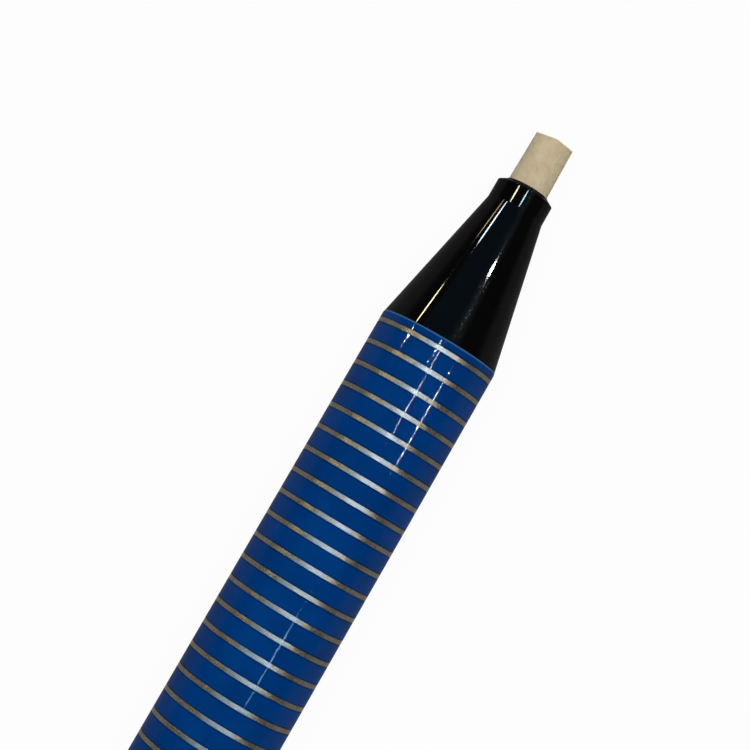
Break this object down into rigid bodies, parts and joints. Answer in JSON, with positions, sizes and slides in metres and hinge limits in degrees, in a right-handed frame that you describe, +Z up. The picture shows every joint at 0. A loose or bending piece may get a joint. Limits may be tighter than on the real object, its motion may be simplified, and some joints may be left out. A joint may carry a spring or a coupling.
{
  "type": "pencil eraser stick",
  "caption": "Pen-shaped eraser stick: a round vinyl eraser in a black nose cone, fed by a spiral sleeve when the rear knob of the banded metal barrel is turned; sprung pocket clip.",
  "frame": {"origin": "on the stick's axis, at the front end of the barrel's full-diameter wall, just behind the nose cone", "axes": "+X along the axis towards the eraser's tip, +Z up as the stick lies on a table, resting on the barrel and the clip's edge"},
  "size_m": [0.133, 0.0148, 0.012],
  "materials": {
    "eraser": "matt vinyl, slightly soiled and worn to a low ridge at the end",
    "black_gloss": "high gloss black",
    "lacquer_blue": "glossy blue lacquer",
    "silver_band": "fine-grained bare metal",
    "bright_trim": "polished plating",
    "steel": "turned and drawn steel",
    "brass": "turned",
    "white_plastic": "moulded, unpainted",
    "dark_plastic": "moulded, unpainted",
    "black_metal": "thin black coating",
    "seal": "moulded ring"
  },
  "bodies": {
    "holder": {"tip_sleeve": "black_metal", "nose_cone": "black_gloss", "front_bushing": "brass", "barrel": "lacquer_blue", "silver_bands": "silver_band", "mid_ring": "bright_trim", "guide_tube": "white_plastic", "drag_spring": "steel", "front_washer": "steel", "rear_washer": "steel", "rear_bushing": "bright_trim", "friction_ring": "seal", "clip_ring": "bright_trim", "clip_pin": "steel", "clip_spring": "steel"},
    "knob": {"spiral_sleeve": "dark_plastic", "drive_stem": "steel", "retaining_clip": "steel", "twist_knob": "black_gloss", "knob_screw": "steel", "end_cap": "bright_trim"},
    "carrier": {"eraser": "eraser", "eraser_carrier": "white_plastic", "carrier_peg": "steel"},
    "clip": {"clip_arm": "bright_trim"}
  },
  "joints": [
    {"name": "knob_twist", "type": "hinge", "parent": "holder", "child": "knob", "pos_m": [-0.09, 0, 0], "axis": [1, 0, 0], "range_deg": [-1134, 702]},
    {"name": "eraser_feed", "type": "slide", "parent": "holder", "child": "carrier", "axis": [1, 0, 0], "range_m": [-0.03151, 0.01951]},
    {"name": "clip_pivot", "type": "hinge", "parent": "holder", "child": "clip", "pos_m": [-0.0884, 0.00656, -0.00353], "axis": [0, 0.4736, 0.8808], "range_deg": [0, 8], "stiffness_Nm_per_rad": 0.12, "springref_deg": -17.19, "deforming": ["clip_spring"]}
  ],
  "couplings": [
    {"joint": "eraser_feed", "follows": "knob_twist", "m_per_rad": 0.0015915}
  ]
}
